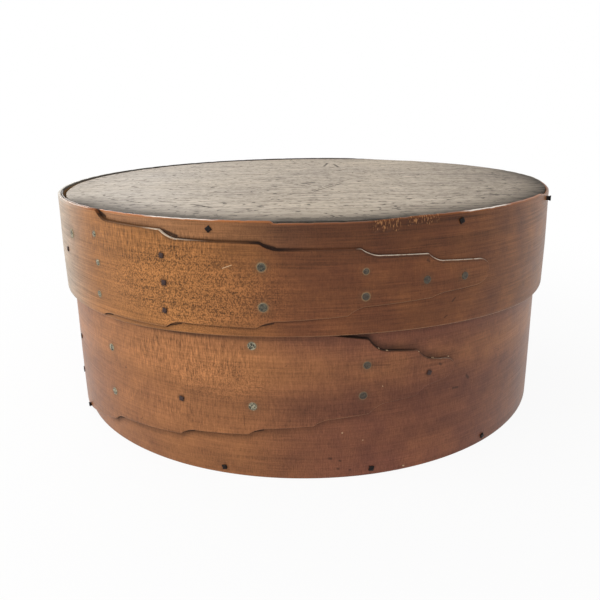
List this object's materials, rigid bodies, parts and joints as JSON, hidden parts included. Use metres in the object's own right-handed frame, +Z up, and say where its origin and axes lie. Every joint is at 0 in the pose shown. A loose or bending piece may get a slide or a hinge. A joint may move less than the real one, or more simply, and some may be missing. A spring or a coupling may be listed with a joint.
{
  "type": "round bentwood pantry box",
  "caption": "Round bentwood box with a slip-on lid. Each bent band laps over itself in a stepped finger held by tacks and nails, round a flat wooden board.",
  "frame": {"origin": "middle of the underside of the base, where the box stands", "axes": "+Z up through the lid, -Y towards the front, where the laps of the bands are, +X to the right of that view"},
  "size_m": [0.2454, 0.2459, 0.1042],
  "materials": {
    "base_hoop_wood": "satin varnish, red-brown, worn",
    "lid_hoop_wood": "satin varnish, golden brown, worn",
    "bottom_board_wood": "bare, aged",
    "lid_board_wood": "worn, grey-brown, scratched",
    "copper_tack": "dull grey-green patina",
    "iron_nail": "dark, rough"
  },
  "bodies": {
    "base": {"base_band": "base_hoop_wood", "bottom_board": "bottom_board_wood", "base_lap_tacks": "copper_tack", "base_lap_nails": "iron_nail", "base_rim_nails": "iron_nail"},
    "lid": {"lid_band": "lid_hoop_wood", "lid_board": "lid_board_wood", "lid_lap_tacks": "copper_tack", "lid_lap_nails": "iron_nail", "lid_rim_nails": "iron_nail"}
  },
  "joints": [
    {"name": "lid_lift", "type": "slide", "parent": "base", "child": "lid", "axis": [0, 0, 1], "range_m": [0, 0.1]}
  ]
}
